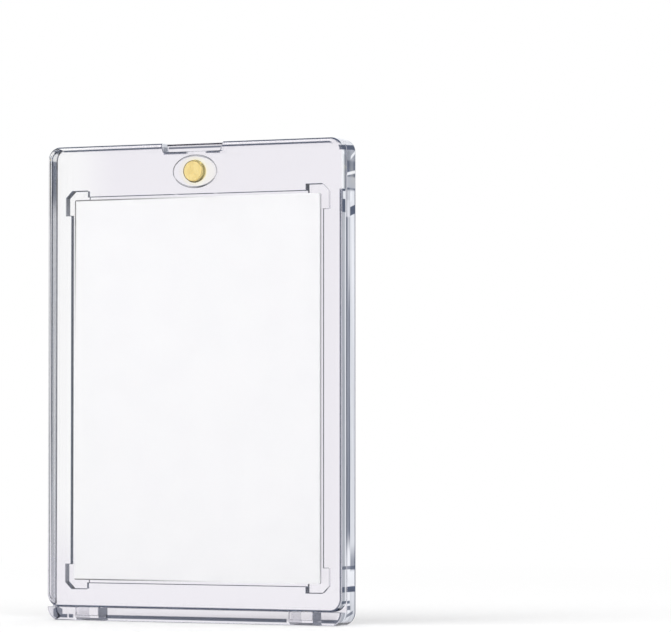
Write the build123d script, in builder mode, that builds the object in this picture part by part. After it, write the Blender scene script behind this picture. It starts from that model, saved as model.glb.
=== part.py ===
"""Clear two-part display case for one trading card, held shut by a pair of disc magnets.

Millimetres. X runs across the case, Y from front to back and Z upwards. The origin is the
middle of the underside, halfway through the thickness, so the case stands on the plane Z = 0.

The rear half carries the card recess and a rail across its foot that is as thick as the whole
case. The front half stands on that rail with two hook tabs in the rail's sockets, and tips
forward about the rounded front edge of its own foot.
"""
from build123d import *
from math import sqrt
import os

# Card
CARD_WIDTH = 63.5
CARD_HEIGHT = 88.9
CARD_THICKNESS = 0.9
CARD_CORNER_RADIUS = 0.4

# Outside of the case
SIDE_MARGIN = 5.55
FOOT_MARGIN = 5.65
COVER_THICKNESS = 2.8
BASE_THICKNESS = 5.1
CORNER_RADIUS = 3.0
FRONT_EDGE_ROUND = 0.85
BACK_EDGE_ROUND = 0.6
PARTING_CHAMFER = 0.12

# Rail across the foot of the rear half
RAIL_HEIGHT = 3.0
RAIL_END_RADIUS = 3.2

# Gaps between the two halves
MATING_GAP = 0.1
FOOT_GAP = 0.1
SWING_CLEARANCE = 0.05

# Card recess and the relief pocket at each of its corners
CARD_SIDE_GAP = 0.8
CARD_END_GAP = 0.6
CARD_FACE_GAP = 0.05
EAR_REACH = 1.45
EAR_LENGTH = 4.2
EAR_CHAMFER = 1.6
EAR_EXTRA_DEPTH = 0.8
RECESS_MOUTH_CHAMFER = 0.15

# Magnets, their pockets and the oval key round them
MAGNET_DIAMETER = 4.76
MAGNET_THICKNESS = 1.59
MAGNET_EDGE_CHAMFER = 0.12
MAGNET_RADIAL_GAP = 0.05
MAGNET_SEAT_GAP = 0.02
MAGNET_MOUTH_CHAMFER = 0.25
KEY_WIDTH = 11.3
KEY_HEIGHT = 7.5
KEY_RISE = 0.5
KEY_CLEARANCE = 0.12
KEY_CHAMFER = 0.12
KEY_NOTCH_GAP = 0.75
KEY_RECESS_GAP = 1.5

# Thumb notch in the top edge of the front half
NOTCH_WIDTH = 15.8
NOTCH_FLOOR_WIDTH = 14.6
NOTCH_DEPTH = 2.1
NOTCH_FLOOR_ROUND = 0.3

# Hook tabs of the front half, and their sockets in the rail
TAB_SPREAD = 55.2
TAB_WIDTH = 5.5
TAB_THICKNESS = 1.0
TAB_LENGTH = 2.0
TAB_TIP_ROUND = 0.3
TAB_SIDE_GAP = 0.3
TAB_FRONT_GAP = 0.15
SOCKET_LIP = 0.95
SOCKET_FLOOR = 0.7

# Worked out from the sizes above
RECESS_WIDTH = CARD_WIDTH + 2 * CARD_SIDE_GAP
RECESS_HEIGHT = CARD_HEIGHT + 2 * CARD_END_GAP
RECESS_DEPTH = CARD_THICKNESS + 2 * CARD_FACE_GAP
HEAD_MARGIN = NOTCH_DEPTH + KEY_NOTCH_GAP + KEY_HEIGHT + KEY_RECESS_GAP
CASE_WIDTH = RECESS_WIDTH + 2 * SIDE_MARGIN
CASE_THICKNESS = COVER_THICKNESS + MATING_GAP + BASE_THICKNESS
COVER_HEIGHT = FOOT_MARGIN + RECESS_HEIGHT + HEAD_MARGIN
COVER_FOOT = RAIL_HEIGHT + FOOT_GAP
FOOT_HALF_WIDTH = CASE_WIDTH / 2 - RAIL_END_RADIUS + sqrt(RAIL_END_RADIUS**2 - RAIL_HEIGHT**2)
CASE_HEIGHT = COVER_FOOT + COVER_HEIGHT
MATING_DEPTH = COVER_THICKNESS + MATING_GAP
RECESS_CENTRE = COVER_FOOT + FOOT_MARGIN + RECESS_HEIGHT / 2
MAGNET_HEIGHT = CASE_HEIGHT - HEAD_MARGIN + KEY_RECESS_GAP + KEY_HEIGHT / 2
POCKET_DIAMETER = MAGNET_DIAMETER + 2 * MAGNET_RADIAL_GAP
NOTCH_FLOOR = CASE_HEIGHT - NOTCH_DEPTH
KEY_FACE_DEPTH = MATING_DEPTH - KEY_RISE
KEY_POCKET_DEPTH = KEY_FACE_DEPTH - MATING_GAP
TAB_DEPTH = SOCKET_LIP + TAB_FRONT_GAP
SOCKET_WIDTH = TAB_WIDTH + 2 * TAB_SIDE_GAP


def plane_at(depth):
    """The upright plane this far behind the front face. Extruding by +t goes forward by t."""
    return Plane.XZ.offset(CASE_THICKNESS / 2 - depth)


def heel_round():
    """The least round on the foot's back edge that lets the front half tip clear of the rear."""
    back = COVER_THICKNESS - FRONT_EDGE_ROUND
    foot = FRONT_EDGE_ROUND
    reach = back + MATING_GAP - SWING_CLEARANCE
    excess = back + foot - reach
    return excess - sqrt(excess**2 - (back**2 + foot**2 - reach**2))


def notch_corners():
    """The outline of the thumb notch, whose sloping sides run on above the top edge."""
    slope = (NOTCH_WIDTH - NOTCH_FLOOR_WIDTH) / 2
    above = NOTCH_WIDTH / 2 + slope
    return [
        (-NOTCH_FLOOR_WIDTH / 2, NOTCH_FLOOR),
        (-above, CASE_HEIGHT + NOTCH_DEPTH),
        (above, CASE_HEIGHT + NOTCH_DEPTH),
        (NOTCH_FLOOR_WIDTH / 2, NOTCH_FLOOR),
    ]


def largest_face(half, depth):
    """The largest flat face of a half at this depth behind the front."""
    level = depth - CASE_THICKNESS / 2
    faces = half.faces().filter_by(Axis.Y)
    return faces.filter_by_position(Axis.Y, level - 0.01, level + 0.01).sort_by(SortBy.AREA)[-1]


def pocket_rings(half):
    """The round edges of a half's magnet pocket."""
    rings = half.edges().filter_by(GeomType.CIRCLE)
    return rings.filter_by(lambda ring: abs(ring.radius - POCKET_DIAMETER / 2) < 1e-6)


def ear_corners(side, end):
    """The outline of the relief pocket at one corner of the recess, from its inmost corner."""
    corner_x = side * RECESS_WIDTH / 2
    corner_z = RECESS_CENTRE + end * RECESS_HEIGHT / 2
    inner_x = corner_x - side * EAR_LENGTH
    inner_z = corner_z - end * EAR_LENGTH
    outer_x = corner_x + side * EAR_REACH
    outer_z = corner_z + end * EAR_REACH
    return [
        (inner_x, inner_z),
        (inner_x, outer_z),
        (outer_x - side * EAR_CHAMFER, outer_z),
        (outer_x, outer_z - end * EAR_CHAMFER),
        (outer_x, inner_z),
    ]


# Rear half: plate, rail, card recess, corner pockets, oval key, magnet pocket and sockets
with BuildPart() as base_plate:
    with BuildSketch(plane_at(CASE_THICKNESS)) as base_outline:
        with BuildLine():
            Line((0, 0), (FOOT_HALF_WIDTH, 0))
            RadiusArc((FOOT_HALF_WIDTH, 0), (CASE_WIDTH / 2, RAIL_HEIGHT), -RAIL_END_RADIUS)
            Line((CASE_WIDTH / 2, RAIL_HEIGHT), (CASE_WIDTH / 2, CASE_HEIGHT))
            Line((CASE_WIDTH / 2, CASE_HEIGHT), (0, CASE_HEIGHT))
            mirror(about=Plane.YZ)
        make_face()
        fillet(base_outline.vertices().group_by(Axis.Y)[-1], CORNER_RADIUS)
    extrude(amount=CASE_THICKNESS)
    front_rim = base_plate.faces().sort_by(Axis.Y)[0].outer_wire()
    fillet(front_rim.edges(), FRONT_EDGE_ROUND)
    back_rim = base_plate.faces().sort_by(Axis.Y)[-1].outer_wire()
    fillet(back_rim.edges(), BACK_EDGE_ROUND)

    # The front half's place above the rail
    with BuildSketch(plane_at(MATING_DEPTH)):
        with Locations((0, RAIL_HEIGHT + CASE_HEIGHT / 2)):
            Rectangle(2 * CASE_WIDTH, CASE_HEIGHT)
    extrude(amount=MATING_DEPTH, mode=Mode.SUBTRACT)
    parting_edges = largest_face(base_plate, MATING_DEPTH).outer_wire().edges().group_by(Axis.Z)[1:]
    chamfer([edge for group in parting_edges for edge in group], PARTING_CHAMFER)

    # Card recess
    with BuildSketch(plane_at(MATING_DEPTH)):
        with Locations((0, RECESS_CENTRE)):
            Rectangle(RECESS_WIDTH, RECESS_HEIGHT)
    extrude(amount=-RECESS_DEPTH, mode=Mode.SUBTRACT)

    # Relief pockets that keep the card's corners from touching anything
    with BuildSketch(plane_at(MATING_DEPTH)):
        for side in (-1, 1):
            for end in (-1, 1):
                with BuildLine():
                    Polyline(*ear_corners(side, end), close=True)
                make_face()
    extrude(amount=-(RECESS_DEPTH + EAR_EXTRA_DEPTH), mode=Mode.SUBTRACT)
    mouth = largest_face(base_plate, MATING_DEPTH).inner_wires()[0]
    chamfer(mouth.edges(), RECESS_MOUTH_CHAMFER)

    # Oval key that centres the front half
    with BuildSketch(plane_at(MATING_DEPTH)):
        with Locations((0, MAGNET_HEIGHT)):
            Ellipse(KEY_WIDTH / 2 - KEY_CLEARANCE, KEY_HEIGHT / 2 - KEY_CLEARANCE)
    extrude(amount=KEY_RISE)
    chamfer(largest_face(base_plate, KEY_FACE_DEPTH).edges(), KEY_CHAMFER)

    # Magnet pocket
    with BuildSketch(plane_at(KEY_FACE_DEPTH)):
        with Locations((0, MAGNET_HEIGHT)):
            Circle(POCKET_DIAMETER / 2)
    extrude(amount=-(MAGNET_THICKNESS + 2 * MAGNET_SEAT_GAP), mode=Mode.SUBTRACT)
    chamfer(pocket_rings(base_plate).sort_by(Axis.Y)[0], MAGNET_MOUTH_CHAMFER)

    # Sockets: each runs in from the back under the plate and opens upwards behind the lip
    with BuildSketch(plane_at(SOCKET_LIP)):
        with Locations((0, (RAIL_HEIGHT + SOCKET_FLOOR) / 2)):
            with GridLocations(TAB_SPREAD, 0, 2, 1):
                Rectangle(SOCKET_WIDTH, RAIL_HEIGHT - SOCKET_FLOOR)
    extrude(amount=-CASE_THICKNESS, mode=Mode.SUBTRACT)

base_plate.part.label = "base_plate"


# Front half: plate with a thumb notch, oval pocket and magnet pocket, and its two hook tabs
with BuildPart() as front_cover:
    with BuildSketch(plane_at(COVER_THICKNESS)):
        with Locations((0, COVER_FOOT + COVER_HEIGHT / 2)):
            RectangleRounded(CASE_WIDTH, COVER_HEIGHT, CORNER_RADIUS)
    extrude(amount=COVER_THICKNESS)
    front_rim = front_cover.faces().sort_by(Axis.Y)[0].outer_wire()
    fillet(front_rim.edges(), FRONT_EDGE_ROUND)
    back_rim = front_cover.faces().sort_by(Axis.Y)[-1].outer_wire()
    chamfer(back_rim.edges(), PARTING_CHAMFER)

    # Thumb notch, with crisp edges and a small round at each end of its floor
    with BuildSketch(plane_at(COVER_THICKNESS)) as notch:
        with BuildLine():
            Polyline(*notch_corners(), close=True)
        make_face()
        fillet(notch.vertices().group_by(Axis.Y)[0], NOTCH_FLOOR_ROUND)
    extrude(amount=COVER_THICKNESS, mode=Mode.SUBTRACT)

    # Heel round along the back of the foot, which tips past the rear half
    heel = heel_round()
    with BuildSketch(Plane.YZ.offset(-CASE_WIDTH / 2)):
        heel_y = COVER_THICKNESS - CASE_THICKNESS / 2 - heel
        with Locations((heel_y, COVER_FOOT)):
            Rectangle(heel + MATING_GAP, heel, align=(Align.MIN, Align.MIN))
        with Locations((heel_y, COVER_FOOT + heel)):
            Circle(heel, mode=Mode.SUBTRACT)
    extrude(amount=CASE_WIDTH, mode=Mode.SUBTRACT)

    # Oval pocket that drops over the key
    with BuildSketch(plane_at(COVER_THICKNESS)):
        with Locations((0, MAGNET_HEIGHT)):
            Ellipse(KEY_WIDTH / 2, KEY_HEIGHT / 2)
    extrude(amount=COVER_THICKNESS - KEY_POCKET_DEPTH, mode=Mode.SUBTRACT)
    mouth = largest_face(front_cover, COVER_THICKNESS).inner_wires()[0]
    chamfer(mouth.edges(), KEY_CHAMFER)

    # Magnet pocket
    with BuildSketch(plane_at(KEY_POCKET_DEPTH)):
        with Locations((0, MAGNET_HEIGHT)):
            Circle(POCKET_DIAMETER / 2)
    extrude(amount=MAGNET_THICKNESS + 2 * MAGNET_SEAT_GAP, mode=Mode.SUBTRACT)
    chamfer(pocket_rings(front_cover).sort_by(Axis.Y)[-1], MAGNET_MOUTH_CHAMFER)

    # Hook tabs, rooted in the foot
    with BuildSketch(plane_at(TAB_DEPTH + TAB_THICKNESS)):
        with Locations((0, COVER_FOOT)):
            with GridLocations(TAB_SPREAD, 0, 2, 1):
                Rectangle(TAB_WIDTH, 2 * TAB_LENGTH)
    extrude(amount=TAB_THICKNESS)
    tab_tips = front_cover.faces().filter_by(Axis.Z).group_by(Axis.Z)[0]
    fillet(tab_tips.edges(), TAB_TIP_ROUND)

front_cover.part.label = "front_cover"


# Magnets: discs with bevelled edges, each sunk a hair below the face it sits in
def disc_magnet(depth):
    """A magnet whose front face is this far behind the front of the case."""
    with BuildPart() as disc:
        with BuildSketch(plane_at(depth + MAGNET_THICKNESS)):
            with Locations((0, MAGNET_HEIGHT)):
                Circle(MAGNET_DIAMETER / 2)
        extrude(amount=MAGNET_THICKNESS)
        chamfer(disc.edges().filter_by(GeomType.CIRCLE), MAGNET_EDGE_CHAMFER)
    return disc


cover_magnet = disc_magnet(KEY_POCKET_DEPTH - MAGNET_SEAT_GAP - MAGNET_THICKNESS)
cover_magnet.part.label = "cover_magnet"

base_magnet = disc_magnet(KEY_FACE_DEPTH + MAGNET_SEAT_GAP)
base_magnet.part.label = "base_magnet"


# Blank card in the middle of the recess
with BuildPart() as card_blank:
    with BuildSketch(plane_at(MATING_DEPTH + CARD_FACE_GAP)):
        with Locations((0, RECESS_CENTRE)):
            RectangleRounded(CARD_WIDTH, CARD_HEIGHT, CARD_CORNER_RADIUS)
    extrude(amount=-CARD_THICKNESS)

card_blank.part.label = "card_blank"


os.makedirs("parts", exist_ok=True)
for piece in (base_plate, front_cover, cover_magnet, base_magnet, card_blank):
    export_step(piece.part, f"parts/{piece.part.label}.step")
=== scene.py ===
"""Clear two-part display case for one trading card: finishes, studio and camera."""
import math
from collections import namedtuple

import bpy
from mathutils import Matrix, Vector


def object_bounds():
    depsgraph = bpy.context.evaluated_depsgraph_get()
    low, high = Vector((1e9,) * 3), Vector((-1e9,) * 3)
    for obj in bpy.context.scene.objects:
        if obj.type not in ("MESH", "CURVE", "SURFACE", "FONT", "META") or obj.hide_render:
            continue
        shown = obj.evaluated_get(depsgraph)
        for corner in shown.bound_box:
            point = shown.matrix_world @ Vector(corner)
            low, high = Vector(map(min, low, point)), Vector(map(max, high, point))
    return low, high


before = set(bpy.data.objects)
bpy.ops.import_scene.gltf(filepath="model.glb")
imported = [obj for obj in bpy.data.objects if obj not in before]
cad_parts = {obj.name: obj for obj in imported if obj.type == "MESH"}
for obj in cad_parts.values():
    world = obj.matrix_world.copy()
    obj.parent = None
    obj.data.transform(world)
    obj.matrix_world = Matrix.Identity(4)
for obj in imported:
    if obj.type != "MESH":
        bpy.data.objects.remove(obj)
cad_low, cad_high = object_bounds()
bpy.ops.object.select_all(action="DESELECT")

# Sizes of the case, in millimetres
MM = 0.001
PER_METRE = 1000.0
THICKNESS = (cad_high.y - cad_low.y) * PER_METRE
MAGNET_UP = 104.1
CARD_HALF_WIDTH = 31.75
CARD_FOOT = 9.35
CARD_HEAD = 98.25
CORNER_RADIUS = 3.0

# Where the painted dark line along the front round has the centre of its turn at a corner
LINE_CORNER_X = 34.75
LINE_CORNER_Z = 107.58

# Optics of cast acrylic, and the colours painted in for the shade, reflections and glow at its
# edges and seats
ACRYLIC_IOR = 1.49
# Painted shade: the dark glass that edges and walls turn into where they are painted grey
SHADE_THROUGH_EDGE = (0.10, 0.12, 0.17, 1.0)
# Painted reflections: flat matt colours put on the outer walls in place of what they mirror
PAINTED_PALE_REFLECTION = (0.86, 0.88, 0.93, 1.0)
PAINTED_SLATE_REFLECTION = (0.11, 0.135, 0.20, 1.0)
BARELY_SHADED = (0.985, 0.985, 0.985, 1.0)
PLASTIC_CAST = (0.66, 0.65, 0.73, 1.0)
CAST_DENSITY = 12.0
# Painted sheen: pale metal put on the plastic walls of the sockets
SOCKET_GLEAM = (0.92, 0.92, 0.95, 1.0)
# Painted reflection: gold metal put on the plastic walls of the magnets' seats, in place of the
# magnet mirrored in them
PAINTED_GOLD_REFLECTION = (0.90, 0.76, 0.30, 1.0)
# Painted glow: a warm tint painted on the plate round the gold magnets
PAINTED_GOLD_GLOW = (0.98, 0.96, 0.87)

# The studio, in metres, millimetres of lens and sensor, and degrees
WHITE = (1.0, 1.0, 1.0, 1.0)
GREY_OVERHEAD = (0.45, 0.47, 0.54)
FLOOR_SIZE = 30.0
FLOOR_LEVEL = -0.00005
LAMP_TARGET = (0.0, 0.0, 0.05)
CAMERA_PLACE = (0.392416, -0.767150, 0.042104)
CAMERA_HEADING = -24.9969
CAMERA_PITCH = 1.9015
LENS_LENGTH = 199.736
SENSOR_WIDTH = 36.0
BOUNCES = 32
GLOSSY_BOUNCES = 16

# Outputs of the Light Path node
CAMERA_RAY = 0
SHADOW_RAY = 1
GLOSSY_RAY = 3
TRANSMISSION_RAY = 6

# Painted reflections: greys painted on the side walls in place of what they mirror, by their share
# of the way from front to back
LOWER_REFLECTION_BANDS = [
    (0.0, 0.5),
    (0.16, 0.5),
    (0.225, 0.6),
    (0.235, 0.0),
    (0.292, 0.0),
    (0.304, 0.9),
    (0.42, 0.78),
    (0.5, 0.82),
    (0.56, 1.0),
    (0.585, 0.1),
    (0.85, 0.1),
    (0.885, 0.15),
    (0.905, 0.9),
]
UPPER_REFLECTION_BANDS = [
    (0.0, 0.0),
    (0.14, 0.0),
    (0.18, 0.5),
    (0.3, 0.75),
    (0.345, 0.7),
    (0.375, 1.0),
    (0.44, 1.0),
    (0.5, 0.88),
    (0.6, 0.7),
    (0.89, 0.85),
    (0.91, 0.95),
]

# Painted glints and painted dark reflection bars across the side walls, in millimetres: the height
# of a mark's middle at the front face, its half-height (where it has faded out, where it is full),
# how much it climbs for each millimetre towards the back, the depths between which it comes in and
# goes out, and its strength
MARK_FIELDS = "height half climb comes_in goes_out strength"
Mark = namedtuple("Mark", MARK_FIELDS, defaults=(0.0, None, None, 1.0))
# Painted glints: light mirrored from the corner pockets
POCKET_GLINTS = [
    Mark(103.2, (0.5, 0.25), climb=0.6, comes_in=(4.6, 5.4)),
    Mark(101.9, (0.5, 0.2), climb=0.17, comes_in=(2.6, 2.9)),
    Mark(94.8, (1.3, 0.9), climb=0.5, comes_in=(4.4, 4.8), goes_out=(6.0, 5.4)),
    Mark(10.6, (1.7, 1.5), comes_in=(3.1, 3.3), goes_out=(7.0, 6.8)),
]
# Painted dark reflections, as bars across the side walls
TOP_REFLECTION_BAR = Mark(108.35, (0.65, 0.45), climb=0.05)
DARK_REFLECTION_BARS = [
    TOP_REFLECTION_BAR,
    Mark(98.7, (0.3, 0.2), goes_out=(2.15, 2.05)),
    Mark(95.15, (1.6, 1.4), goes_out=(2.15, 2.05)),
    Mark(92.75, (1.1, 0.9), climb=0.26, comes_in=(4.5, 4.8)),
    Mark(13.1, (0.45, 0.3), strength=0.8),
    Mark(8.2, (0.7, 0.55), goes_out=(1.9, 1.7)),
    Mark(8.2, (0.7, 0.55), comes_in=(2.3, 2.4)),
    Mark(5.3, (0.4, 0.25), goes_out=(4.6, 4.3), strength=0.9),
    Mark(4.0, (0.55, 0.4), comes_in=(1.8, 2.0), goes_out=(4.8, 4.6), strength=0.85),
    Mark(1.4, (0.45, 0.3), climb=0.25, comes_in=(2.5, 2.9), goes_out=(6.3, 5.9), strength=0.75),
]


class Signal:
    """A number, colour or vector on its way through a node tree."""

    def __init__(self, bench, socket):
        self.bench = bench
        self.socket = socket

    def work(self, operation, first, second=0.0):
        return self.bench.node("ShaderNodeMath", {"operation": operation}, {0: first, 1: second})

    def __add__(self, other):
        return self.work("ADD", self, other)

    def __radd__(self, other):
        return self.work("ADD", other, self)

    def __sub__(self, other):
        return self.work("SUBTRACT", self, other)

    def __rsub__(self, other):
        return self.work("SUBTRACT", other, self)

    def __mul__(self, other):
        return self.work("MULTIPLY", self, other)

    def __rmul__(self, other):
        return self.work("MULTIPLY", other, self)

    def __abs__(self):
        return self.work("ABSOLUTE", self)

    def root(self):
        return self.work("SQRT", self)

    def most(self, other):
        return self.work("MAXIMUM", self, other)

    def least(self, other):
        return self.work("MINIMUM", self, other)

    def ramp(self, start, end):
        """Nought at start and one at end, with a soft change between them."""
        settings = {"interpolation_type": "SMOOTHSTEP"}
        return self.bench.node("ShaderNodeMapRange", settings, {"Value": self, 1: start, 2: end})

    def near(self, middle, far, close):
        """One within close of middle, and nought from far on."""
        return abs(self - middle).ramp(far, close)

    def off(self, middle, close, far):
        """Nought within close of middle, and one from far on."""
        return abs(self - middle).ramp(close, far)

    def between(self, low, high):
        """One between two soft edges, each given by where it is nought and where it is one."""
        return self.ramp(*low) * self.ramp(*high)

    def toward(self, goal, share):
        """Moved a share of the way to a goal."""
        return self + (goal - self) * share

    def faded(self, share):
        """Made weaker by a share of itself."""
        return self * (1.0 - share)


class Bench:
    """A node tree being wired up."""

    def __init__(self, tree):
        self.tree = tree
        self.tree.nodes.clear()

    def node(self, kind, settings=None, sockets=None, output=0):
        """Adds a node, with its settings before its sockets, and gives back one of its outputs."""
        made = self.tree.nodes.new(kind)
        for name, value in (settings or {}).items():
            if name == "stops":
                self.set_stops(made.color_ramp, value)
            else:
                setattr(made, name, value)
        for name, value in (sockets or {}).items():
            if isinstance(value, Signal):
                self.tree.links.new(value.socket, made.inputs[name])
            else:
                made.inputs[name].default_value = value
        if not made.outputs:
            return None
        return Signal(self, made.outputs[output])

    def set_stops(self, ramp, stops):
        while len(ramp.elements) < len(stops):
            ramp.elements.new(1.0)
        for element, (place, grey) in zip(ramp.elements, stops):
            element.position = place
            element.color = (grey, grey, grey, 1.0)

    def greys(self, stops, along):
        """A grey that changes along a way, by its stops."""
        return self.parts(self.node("ShaderNodeValToRGB", {"stops": stops}, {0: along}))[0]

    def parts(self, vector):
        """The three numbers of a vector."""
        first = self.node("ShaderNodeSeparateXYZ", sockets={0: vector})
        return [Signal(self, number) for number in first.socket.node.outputs]

    def blend(self, share, first, second):
        """A colour between two colours."""
        first = first if isinstance(first, Signal) else (*first, 1.0)
        second = second if isinstance(second, Signal) else (*second, 1.0)
        settings = {"data_type": "RGBA"}
        return self.node("ShaderNodeMix", settings, {0: share, 6: first, 7: second}, 2)

    def mix(self, share, first, second):
        """A surface between two surfaces."""
        return self.node("ShaderNodeMixShader", sockets={0: share, 1: first, 2: second})

    def place(self):
        """Where a point lies on the piece, in metres."""
        return self.node("ShaderNodeTexCoord", output=3)

    def lean(self):
        """Which way the surface faces at a point."""
        return self.node("ShaderNodeTexCoord", output=1)

    def light_path(self, output):
        """One on the rays of one kind."""
        return self.node("ShaderNodeLightPath", output=output)

    def cloud(self, where, scale, detail=3.0, roughness=0.5):
        """Soft random variation between nought and one."""
        sockets = {"Vector": where, "Scale": scale, "Detail": detail, "Roughness": roughness}
        return self.node("ShaderNodeTexNoise", sockets=sockets)

    def stretch(self, where, scale, turn=(0.0, 0.0, 0.0)):
        """The same place with each axis stretched."""
        sockets = {"Vector": where, "Scale": scale, "Rotation": turn}
        return self.node("ShaderNodeMapping", sockets=sockets)

    def dent(self, height, depth, strength, under=None):
        """A surface normal that follows a height, where one unit of height is depth metres."""
        sockets = {"Height": height, "Distance": depth, "Strength": strength}
        if under is not None:
            sockets["Normal"] = under
        return self.node("ShaderNodeBump", sockets=sockets)

    def principled(self, sockets):
        return self.node("ShaderNodeBsdfPrincipled", sockets=sockets)

    def metal(self, colour, roughness):
        return self.principled({"Base Color": colour, "Metallic": 1.0, "Roughness": roughness})

    def matt(self, colour):
        return self.node("ShaderNodeBsdfDiffuse", sockets={"Color": colour, "Roughness": 0.0})

    def finish_with(self, surface, inside=None):
        """Wires the surface, and what fills the piece, to the material's output."""
        sockets = {"Surface": surface}
        if inside is not None:
            sockets["Volume"] = inside
        self.node("ShaderNodeOutputMaterial", sockets=sockets)


class Spot:
    """A point on the case: where it lies, in millimetres, and how the surface leans there."""

    def __init__(self, bench):
        self.place = bench.place()
        x, y, z = bench.parts(self.place)
        lean_x, lean_y, lean_z = bench.parts(bench.lean())
        rise = z - MAGNET_UP * MM
        self.side = x * PER_METRE
        self.across = abs(self.side)
        self.depth = (y - cad_low.y) * PER_METRE
        self.height = z * PER_METRE
        self.from_magnet = (x * x + rise * rise).root() * PER_METRE
        self.lean_x = lean_x
        self.lean_z = lean_z
        self.facing = abs(lean_y)


class EdgeSpot(Spot):
    """What the walls, rounds and edges of the clear plastic also go by."""

    def __init__(self, bench):
        super().__init__(bench)
        self.from_inside = bench.node("ShaderNodeNewGeometry", output=6)
        self.from_outside = 1.0 - self.from_inside
        self.on_front = self.depth.ramp(0.3, 0.1)
        self.front_round = self.depth.ramp(0.95, 0.85)
        self.wall = 1.0 - self.facing.ramp(0.3, 0.6)
        self.outer = self.across.ramp(36.9, 37.3).most(self.height.ramp(109.6, 110.0))
        self.upper = self.height.ramp(98.5, 99.2)
        self.notch = self.height.ramp(108.3, 108.5) * self.across.ramp(8.6, 8.3)
        self.notch = self.notch * self.depth.ramp(2.88, 2.84)
        self.past_x = self.across - LINE_CORNER_X
        self.past_z = self.height - LINE_CORNER_Z


def new_finish(name):
    finish = bpy.data.materials.new(name)
    finish.use_nodes = True
    return finish, Bench(finish.node_tree)


def one_mark(spot, mark):
    """How strong one painted reflection mark is at each point of the side walls."""
    level = spot.height - mark.climb * spot.depth
    drawn = mark.strength * level.near(mark.height, *mark.half)
    for edge in (mark.comes_in, mark.goes_out):
        if edge:
            drawn = drawn * spot.depth.ramp(*edge)
    return drawn


def all_marks(spot, table):
    """The strongest of a table of painted reflection marks at each point of the side walls."""
    strongest = one_mark(spot, table[0])
    for mark in table[1:]:
        strongest = strongest.most(one_mark(spot, mark))
    return strongest


def moulded_face(bench, where):
    """Roughness and normal of a polished, faintly wavy face with hair scuffs and specks."""
    waves = bench.cloud(where, 55.0, 1.0)
    hair = bench.cloud(bench.stretch(where, (3000.0, 3000.0, 120.0), (0.0, 0.5, 0.0)), 1.0, 2.0)
    handling = bench.cloud(where, 90.0, 4.0)
    scuffs = hair.ramp(0.72, 0.8) * handling.ramp(0.5, 0.7)
    dust = bench.cloud(where, 2600.0, 1.0).ramp(0.76, 0.8)
    roughness = 0.006 + 0.02 * handling.ramp(0.45, 0.75) + 0.06 * scuffs + 0.04 * dust
    normal = bench.dent(waves, 0.00001, 0.15)
    normal = bench.dent(scuffs, 0.000002, 0.1, normal)
    return roughness, normal


def plate_tint(bench, spot, where, tones):
    """The clear plate's tint: lilac, palest at its upper left, with a painted warm glow of
    reflected gold round the magnets.
    """
    cast = bench.cloud(where, 14.0, 2.0)
    away_from_upper_left = spot.side.ramp(-36.0, -20.0).most(spot.height.ramp(30.0, 8.0))
    lilac = away_from_upper_left * (0.9 + 0.25 * cast)
    tint = bench.blend(lilac.least(1.0), tones["pale"], tones["deep"])
    painted_gold_halo = spot.from_magnet.ramp(3.7, 3.0) * spot.facing.ramp(0.9, 0.98)
    return bench.blend(painted_gold_halo, tint, PAINTED_GOLD_GLOW)


def painted_reflection_bands(bench, spot, reflection_streaks):
    """Painted reflection bands on the outer side walls along the thickness, which change with the
    height.
    """
    depth, height = spot.depth, spot.height
    share = depth * (1.0 / THICKNESS)
    dark_band = depth.between((2.3, 2.5), (4.75, 4.55))
    rear_wall = depth.ramp(4.6, 4.9)
    upper_rear = depth.ramp(3.3, 3.6) * height.ramp(68.0, 85.0)
    beside_pocket = 0.6 * height.ramp(92.4, 92.9) - 0.3 * height.ramp(96.3, 96.8)
    near_foot = height.ramp(22.0, 15.5)
    lower_shade = depth.ramp(7.4, 7.2) * height.ramp(75.0, 25.0)
    foot_shade = height.between((19.0, 14.0), (12.4, 12.7))
    low = bench.greys(LOWER_REFLECTION_BANDS, share)
    low = low.faded(0.6 * dark_band * upper_rear)
    low = low.faded(dark_band * beside_pocket)
    low = low.faded(dark_band * near_foot)
    low = low + rear_wall * (0.14 * lower_shade + 0.5 * foot_shade)
    high = bench.greys(UPPER_REFLECTION_BANDS, share)
    high = high.faded(0.25 * height.ramp(105.2, 105.8) * depth.ramp(2.6, 2.9))
    return low.toward(high, spot.upper) + 0.16 * (reflection_streaks - 0.5)


def side_walls(bench, spot, where, tones):
    """How grey the side walls and the top edge are painted, as shade and reflections, seen from
    outside and from within.
    """
    side, across, depth, height = spot.side, spot.across, spot.depth, spot.height
    reflection_streaks = bench.cloud(bench.stretch(where, (500.0, 700.0, 22.0)), 1.0, 3.0).ramp(0.35, 0.65)

    # Painted reflections on the outer walls: a pale band, a light gap, glints and dark bars
    pale_reflection_band = height.between((99.2, 99.5), (102.2, 101.6)) * depth.ramp(2.6, 2.9)
    light_gap = height.between((96.5, 96.7), (98.5, 98.4)) * depth.near(1.3, 0.6, 0.45)
    outer = painted_reflection_bands(bench, spot, reflection_streaks)
    outer = outer.toward(0.45, pale_reflection_band)
    outer = outer.faded(0.8 * height.ramp(108.6, 108.9))
    outer = outer.faded(all_marks(spot, POCKET_GLINTS).most(light_gap))
    outer = outer.toward(0.97, all_marks(spot, DARK_REFLECTION_BARS))

    # Painted shade on the walls seen from within, lighter on the cover's left wall, at the top
    # corners and at the foot
    cover_wall = depth.ramp(2.9, 2.7) * height.ramp(100.0, 88.0) * side.ramp(0.0, -5.0)
    at_corner = height.between((107.3, 108.0), (109.7, 109.2)) * across.ramp(34.5, 35.1)
    inner = tones["side"] + 0.44 * height.ramp(94.0, 101.0) - 0.18 * reflection_streaks
    inner = inner.faded(0.6 * cover_wall)
    inner = inner.faded(0.8 * at_corner)
    inner = inner.faded(0.6 * height.ramp(3.2, 3.0))
    return outer.toward(inner, spot.from_inside)


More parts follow.
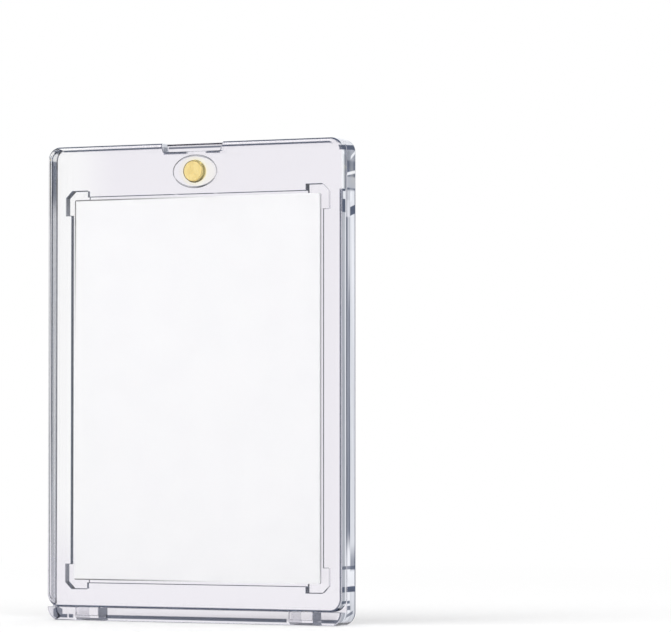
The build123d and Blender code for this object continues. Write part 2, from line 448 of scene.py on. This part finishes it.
def recess_walls(spot):
    """Painted shade on the walls of the card recess and of its corner pockets: how grey they are.
    """
    in_pocket = spot.across.ramp(33.2, 33.4)
    on_bevel = (abs(spot.lean_x) * abs(spot.lean_z)).ramp(0.12, 0.2)
    upper_right = spot.side.ramp(0.0, 5.0) * spot.height.ramp(50.0, 60.0)
    beside_key = spot.across.ramp(4.4, 5.2) * spot.from_magnet.ramp(8.0, 7.0)
    tone = 0.98 - in_pocket * (0.28 - 0.28 * on_bevel) - 0.5 * spot.from_inside * in_pocket
    return tone.faded(0.7 * on_bevel * upper_right).faded(0.85 * beside_key)


def rim_line(spot):
    """Painted shade: the dark line where the front round begins, along the left and top."""
    side, across, height = spot.side, spot.across, spot.height
    past_x, past_z = spot.past_x.most(0.0), spot.past_z.most(0.0)
    from_corner = (past_x * past_x + past_z * past_z).root()
    from_edge = CORNER_RADIUS - from_corner - spot.past_x.most(spot.past_z).least(0.0)
    line = from_edge.between((0.66, 0.8), (1.2, 1.06)) * spot.on_front
    line = line * side.ramp(36.0, 35.0) * height.ramp(3.4, 3.9) * across.ramp(7.7, 7.9)
    lower_left = 0.12 + 0.5 * height.ramp(50.0, 20.0) + 0.3 * height.ramp(25.0, 8.0)
    upper_left = 0.2 * height.ramp(98.0, 103.0)
    line = line.faded((lower_left + upper_left) * side.ramp(-35.8, -36.4))
    line = line.faded(0.6 * side.near(-34.7, 1.2, 0.8) * height.ramp(108.8, 109.3))
    return 0.95 * line


def round_lines(spot):
    """Painted shade: dark outlines of the front and back rounds."""
    side, height, facing = spot.side, spot.height, spot.facing
    to_right = side.ramp(30.0, 34.0) * spot.from_outside
    to_left = side.ramp(-30.0, -34.0) * spot.from_outside
    upright = abs(spot.lean_z).ramp(0.3, 0.6)

    top = facing.ramp(0.88, 0.7) * spot.front_round * upright * height.ramp(100.0, 107.0)
    right = 0.45 * facing.ramp(0.9, 0.83) + 0.5 * facing.between((0.96, 0.9), (0.7, 0.75))
    right = right.faded(spot.upper) * spot.front_round * to_right * spot.lean_x.ramp(0.2, 0.4)
    left = 0.65 * facing.ramp(0.7, 0.55) * spot.front_round * to_left
    cover_foot = facing.ramp(0.86, 0.7) * spot.front_round * height.between((4.2, 4.0), (2.9, 3.0))
    upper_left = spot.past_x.ramp(0.0, 0.6) * spot.past_z.ramp(0.2, 0.8) * side.ramp(0.0, -5.0)
    upper_left = 0.85 * upper_left * facing.ramp(0.9, 0.78) * spot.front_round

    back = facing.ramp(0.85, 0.7) * spot.from_outside * (0.5 + 0.4 * to_right)
    back_inside = facing.ramp(0.58, 0.42) * spot.from_inside
    back_inside = back_inside.faded(0.5 * height.ramp(107.5, 108.5))
    back_inside = back_inside.faded(0.7 * height.ramp(26.0, 12.0))
    back = (back + back_inside) * spot.depth.ramp(7.3, 7.5)
    return top.most(right).most(left).most(cover_foot).most(upper_left).most(back)


def notch_lines(spot, middle_gap):
    """Painted shade: dark outlines of the thumb notch, and of the rear half's edge behind it."""
    across, depth, height, facing = spot.across, spot.depth, spot.height, spot.facing
    slope = across - 7.3 - 0.286 * (height - 108.6)
    sides = slope.near(0.0, 0.32, 0.2) * height.ramp(108.4, 108.6)
    sides = sides * (0.85 - 0.35 * spot.side.ramp(0.0, 5.0))
    floor = height.between((108.0, 108.15), (108.7, 108.6)) * across.ramp(7.4, 7.2) * middle_gap
    lines = sides.most(0.85 * floor) * spot.front_round * facing.ramp(0.2, 0.4)
    behind = across.ramp(7.6, 7.4) * height.near(109.75, 0.3, 0.16) * facing.ramp(0.9, 0.98)
    return lines.most(0.85 * behind * depth.between((2.8, 2.85), (3.0, 2.95)))


def edge_lines(spot):
    """Painted shade in dark lines along the right edge: the split between the halves, the recess
    and the bars.
    """
    side, depth, height, facing = spot.side, spot.depth, spot.height, spot.facing
    beside_card = height.between((14.0, 20.0), (92.9, 92.4))
    split = depth.near(2.85, 0.35, 0.25) * side.ramp(37.5, 37.7) * facing.ramp(0.97, 0.92)
    split = split * (0.35 + 0.5 * beside_card + 0.25 * height.ramp(102.0, 102.6))
    recess_rim = side.near(32.72, 0.16, 0.1) * depth.near(2.9, 0.06, 0.04)
    recess_rim = 0.95 * recess_rim * height.between((12.6, 13.0), (95.0, 94.6)) * spot.from_outside
    bars = (0.7 * height.between((93.6, 93.9), (98.95, 98.8))).most(0.9 * one_mark(spot, TOP_REFLECTION_BAR))
    bars = bars * spot.front_round * side.ramp(30.0, 34.0) * spot.from_outside
    return split.most(recess_rim).most(bars * facing.ramp(0.97, 0.88))


def rail_shade(spot):
    """Painted shade: the dark band and the dark left corner that show in the rail's front."""
    side, height = spot.side, spot.height
    off_sockets = side.off(-26.6, 4.2, 4.5) * side.off(28.7, 4.2, 4.5)
    off_corner = side.off(-32.3, 0.12, 0.25) * side.ramp(-34.4, -34.1)
    band = height.between((0.5, 0.65), (1.5, 1.3)) * spot.on_front * off_sockets * off_corner
    from_end = abs(side + 35.0)
    lozenge = (abs(height - 1.7) + 0.4 * from_end).ramp(1.45, 1.3)
    return (0.9 * band).most(0.8 * from_end.ramp(1.3, 1.15) * lozenge * spot.on_front)


def edge_tone(bench, spot, where, tones):
    """How much painted shade and reflection the plastic gets, from nought, fully clear, to one."""
    # Painted shade on the sockets' walls and the notch, seen from within
    socket_side = 0.35 + 0.65 * abs(spot.lean_x).ramp(0.5, 0.8)
    sockets = 0.05 + tones["sockets"] * spot.from_inside * socket_side
    middle_gap = spot.side.off(1.2, 2.0, 2.9)
    notch = 0.1 + 0.8 * abs(spot.lean_z).ramp(0.7, 0.9) * middle_gap * spot.from_inside
    # Painted shade on the recess, the foot, the sockets, the side walls and the notch, then the
    # painted dark lines
    tone = recess_walls(spot)
    tone = tone.toward(tones["foot"], spot.height.ramp(4.6, 4.2))
    tone = tone.toward(sockets, spot.height.ramp(3.05, 2.95))
    tone = tone.faded(spot.facing.ramp(0.8, 0.95))
    tone = tone.toward(side_walls(bench, spot, where, tones) * spot.wall, spot.outer)
    tone = tone.toward(notch * spot.wall, spot.notch)
    tone = tone * spot.from_magnet.ramp(2.9, 3.1)
    tone = tone.most(rim_line(spot)).most(round_lines(spot)).most(notch_lines(spot, middle_gap))
    return tone.most(edge_lines(spot)).most(rail_shade(spot))


def clear_plastic(name, seed, tones):
    """Polished clear acrylic, whose walls and rounds are painted blue-grey, as the shade and
    reflections that thick edges show.

    tones says how grey the painted shade on each kind of wall is, from nought, fully clear, to
    one, how strongly the sockets' painted sheen gleams, and which tints the clear plate has at its
    palest and its greyest.
    """
    finish, bench = new_finish(name)
    spot = EdgeSpot(bench)
    shift = {0: spot.place, 1: (seed, 0.0, seed)}
    where = bench.node("ShaderNodeVectorMath", {"operation": "ADD"}, shift)
    roughness, normal = moulded_face(bench, where)
    tone = edge_tone(bench, spot, where, tones)
    clear = bench.principled(
        {
            "Base Color": plate_tint(bench, spot, where, tones),
            "Roughness": roughness,
            "IOR": ACRYLIC_IOR,
            "Transmission Weight": 1.0,
            "Normal": normal,
        }
    )
    shaded = bench.node(
        "ShaderNodeBsdfGlass",
        sockets={"Color": SHADE_THROUGH_EDGE, "Roughness": roughness, "IOR": ACRYLIC_IOR},
    )
    # Painted shade: where the tone is high, the clear plastic turns into dark glass
    surface = bench.mix(tone, clear, shaded)

    # Painted reflections: the outer walls are mixed with flat matt pale and slate colours, in
    # place of what stands around them
    painted_reflection = bench.mix(tone, bench.matt(PAINTED_PALE_REFLECTION), bench.matt(PAINTED_SLATE_REFLECTION))
    share = (spot.outer * (0.8 - 0.2 * tone)).most(0.35 * spot.notch)
    surface = bench.mix(share * spot.wall * spot.from_outside, surface, painted_reflection)

    # Painted sheen and reflection: the sockets' plastic walls gleam as pale metal, and the
    # magnets' plastic seats are made gold metal, in place of the gold they mirror
    in_socket = spot.height.ramp(3.05, 2.95) * spot.across.near(27.6, 3.4, 3.2)
    gleaming = tones["gleam"] * in_socket * spot.depth.ramp(0.9, 1.0)
    gleaming = gleaming * spot.wall * spot.from_outside
    surface = bench.mix(gleaming, surface, bench.metal(SOCKET_GLEAM, 0.25))
    in_seat = spot.from_magnet.ramp(2.8, 2.7).faded(spot.facing.ramp(0.8, 0.95))
    surface = bench.mix(in_seat, surface, bench.metal(PAINTED_GOLD_REFLECTION, 0.35))

    # Light passes to what lies behind, so the case throws only a light shadow
    open_way = bench.node("ShaderNodeBsdfTransparent", sockets={"Color": BARELY_SHADED})
    surface = bench.mix(bench.light_path(SHADOW_RAY), surface, open_way)
    filling = {"Color": PLASTIC_CAST, "Density": CAST_DENSITY}
    bench.finish_with(surface, bench.node("ShaderNodeVolumeAbsorption", sockets=filling))
    return finish


def gold_plating(name):
    """Satin gold plate over a polished disc, a little darker where handled, with painted shade at
    its rim.
    """
    finish, bench = new_finish(name)
    spot = Spot(bench)
    grain = bench.cloud(spot.place, 9000.0, 3.0)
    patches = bench.cloud(spot.place, 700.0, 3.0)
    brushed = bench.stretch(spot.place, (4000.0, 4000.0, 500.0), (0.3, 0.4, 0.0))
    scratches = bench.cloud(brushed, 1.0, 2.0).ramp(0.62, 0.75)
    colour = bench.blend(patches.ramp(0.35, 0.75), (0.96, 0.80, 0.40), (0.88, 0.70, 0.30))
    # Painted shade: the rim of the disc is a darker olive gold
    colour = bench.blend(spot.from_magnet.ramp(2.2, 2.34), colour, (0.58, 0.48, 0.20))
    body = bench.principled(
        {
            "Base Color": colour,
            "Roughness": 0.2 + 0.1 * patches + 0.15 * scratches,
            "Metallic": 1.0,
            "Normal": bench.dent(grain, 0.000004, 0.25),
        }
    )
    bench.finish_with(body)
    return finish


def white_card(name):
    """Matt white card stock with a fine fibre tooth.

    Its cut edges are painted dark grey as shade on the left half, and a thin painted shadow line
    runs along its left, top and foot, greyest to the left.
    """
    finish, bench = new_finish(name)
    spot = Spot(bench)
    fibre = bench.cloud(bench.stretch(spot.place, (1.0, 1.0, 0.35)), 5200.0, 4.0, 0.6)
    mottle = bench.cloud(spot.place, 130.0, 3.0)
    face = bench.blend(mottle.ramp(0.3, 0.7), (0.965, 0.965, 0.962), (0.945, 0.945, 0.945))
    to_left = spot.side.ramp(10.0, -25.0)
    # Painted shadow: thin grey lines along the card's left, top and foot, fading to the right
    painted_edge_shadow = (spot.side + CARD_HALF_WIDTH).ramp(0.38, 0.2) * spot.height.ramp(60.0, 98.0)
    painted_edge_shadow = painted_edge_shadow.most((CARD_HEAD - spot.height).ramp(0.36, 0.18) * to_left)
    painted_edge_shadow = painted_edge_shadow.most((spot.height - CARD_FOOT).ramp(0.36, 0.18) * to_left)
    face = bench.blend(painted_edge_shadow, face, (0.14, 0.14, 0.14))
    # Painted shade: the cut edges are dark grey on the left half and pale on the right
    cut_edge_shade = bench.blend(spot.side.ramp(0.0, 5.0), (0.16, 0.16, 0.17), (0.85, 0.85, 0.86))
    body = bench.principled(
        {
            "Base Color": bench.blend(spot.facing.ramp(0.3, 0.6), cut_edge_shade, face),
            "Roughness": 0.55 + 0.2 * mottle,
            "Specular IOR Level": 0.3,
            "Normal": bench.dent(fibre, 0.000012, 0.35),
        }
    )
    bench.finish_with(body)
    return finish


def coat_node(node, finish):
    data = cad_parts[node].data
    data.materials.clear()
    data.materials.append(finish)


# Levels of painted shade for the foot, the side walls and the sockets, the strength of the
# sockets' painted sheen, and the plate's tints
rear_tones = {
    "foot": 0.85,
    "side": 0.62,
    "sockets": 0.8,
    "gleam": 0.75,
    "pale": (0.985, 0.985, 0.985),
    "deep": (0.88, 0.86, 0.905),
}
front_tones = {
    "foot": 0.9,
    "side": 0.75,
    "sockets": 0.0,
    "gleam": 0.0,
    "pale": (0.995, 0.995, 0.995),
    "deep": (0.99, 0.988, 0.993),
}
coat_node("base_plate", clear_plastic("clear_acrylic_rear", 0.0, rear_tones))
coat_node("front_cover", clear_plastic("clear_acrylic_front", 3.7, front_tones))
gold = gold_plating("gold_plate")
coat_node("cover_magnet", gold)
coat_node("base_magnet", gold)
coat_node("card_blank", white_card("card_stock"))


def pale_floor():
    """A floor lit and shaded near the object, which runs out into the white of the backdrop."""
    bpy.ops.mesh.primitive_plane_add(size=FLOOR_SIZE, location=(0.0, 0.0, FLOOR_LEVEL))
    floor = bpy.context.object
    floor.name = "studio_floor"
    finish, bench = new_finish("pale_floor")
    place = bench.place()
    speckle = bench.cloud(place, 220.0, 4.0)
    colour = bench.blend(speckle, (0.79, 0.79, 0.79), (0.81, 0.81, 0.81))
    body = bench.principled({"Base Color": colour, "Roughness": 0.9, "Specular IOR Level": 0.0})
    plain = bench.node("ShaderNodeEmission", sockets={"Color": WHITE, "Strength": 1.0})
    reach = bench.node("ShaderNodeVectorMath", {"operation": "LENGTH"}, {0: place}, 1)
    in_gloss = bench.light_path(GLOSSY_RAY).most(bench.light_path(TRANSMISSION_RAY))
    looked_at = bench.light_path(CAMERA_RAY).most(in_gloss)
    bench.finish_with(bench.mix(reach.ramp(0.12, 0.45) * looked_at, body, plain))
    floor.data.materials.append(finish)
    bpy.ops.object.select_all(action="DESELECT")


def studio_sky():
    """White to the camera and near the horizon, greyer overhead in gloss and glass."""
    world = bpy.data.worlds.new("studio")
    bpy.context.scene.world = world
    world.use_nodes = True
    bench = Bench(world.node_tree)
    upward = bench.parts(bench.node("ShaderNodeTexCoord", output=0))[2]
    seen = bench.blend(upward.ramp(0.45, 0.8), WHITE[:3], GREY_OVERHEAD)
    in_gloss = bench.light_path(GLOSSY_RAY).most(bench.light_path(TRANSMISSION_RAY))
    shown = bench.blend(in_gloss, WHITE[:3], seen)
    colour = bench.blend(bench.light_path(CAMERA_RAY), shown, WHITE[:3])
    light = bench.node("ShaderNodeBackground", sockets={"Color": colour, "Strength": 1.0})
    bench.node("ShaderNodeOutputWorld", sockets={"Surface": light})


def soft_lamp(name, place, size, watts):
    """A rectangular lamp that shines at the case."""
    bpy.ops.object.light_add(type="AREA", location=place)
    lamp = bpy.context.object
    lamp.name = name
    lamp.data.shape = "RECTANGLE"
    lamp.data.size, lamp.data.size_y = size
    lamp.data.energy = watts
    lamp.rotation_euler = (Vector(LAMP_TARGET) - Vector(place)).to_track_quat("-Z", "Y").to_euler()


def studio_camera():
    """A long lens to the right of the case's front, a little below its middle, tipped upward."""
    bpy.ops.object.camera_add()
    camera = bpy.context.object
    camera.name = "studio_camera"
    camera.data.sensor_width = SENSOR_WIDTH
    camera.data.lens = LENS_LENGTH
    camera.data.clip_start = 0.01
    camera.data.clip_end = 50.0
    heading = math.radians(CAMERA_HEADING)
    pitch = math.radians(CAMERA_PITCH)
    level = math.cos(pitch)
    ahead = Vector((math.sin(heading) * level, math.cos(heading) * level, math.sin(pitch)))
    camera.location = CAMERA_PLACE
    camera.rotation_euler = ahead.to_track_quat("-Z", "Y").to_euler()
    bpy.context.scene.camera = camera


pale_floor()
studio_sky()
soft_lamp("key_softbox", (-0.7, -0.8, 1.1), (0.9, 0.9), 7.3)
soft_lamp("fill_softbox", (0.9, -0.5, 0.7), (0.7, 0.9), 3.3)
studio_camera()

scene = bpy.context.scene
scene.view_settings.view_transform = "Standard"
scene.cycles.max_bounces = BOUNCES
scene.cycles.transmission_bounces = BOUNCES
scene.cycles.glossy_bounces = GLOSSY_BOUNCES
scene.cycles.transparent_max_bounces = BOUNCES
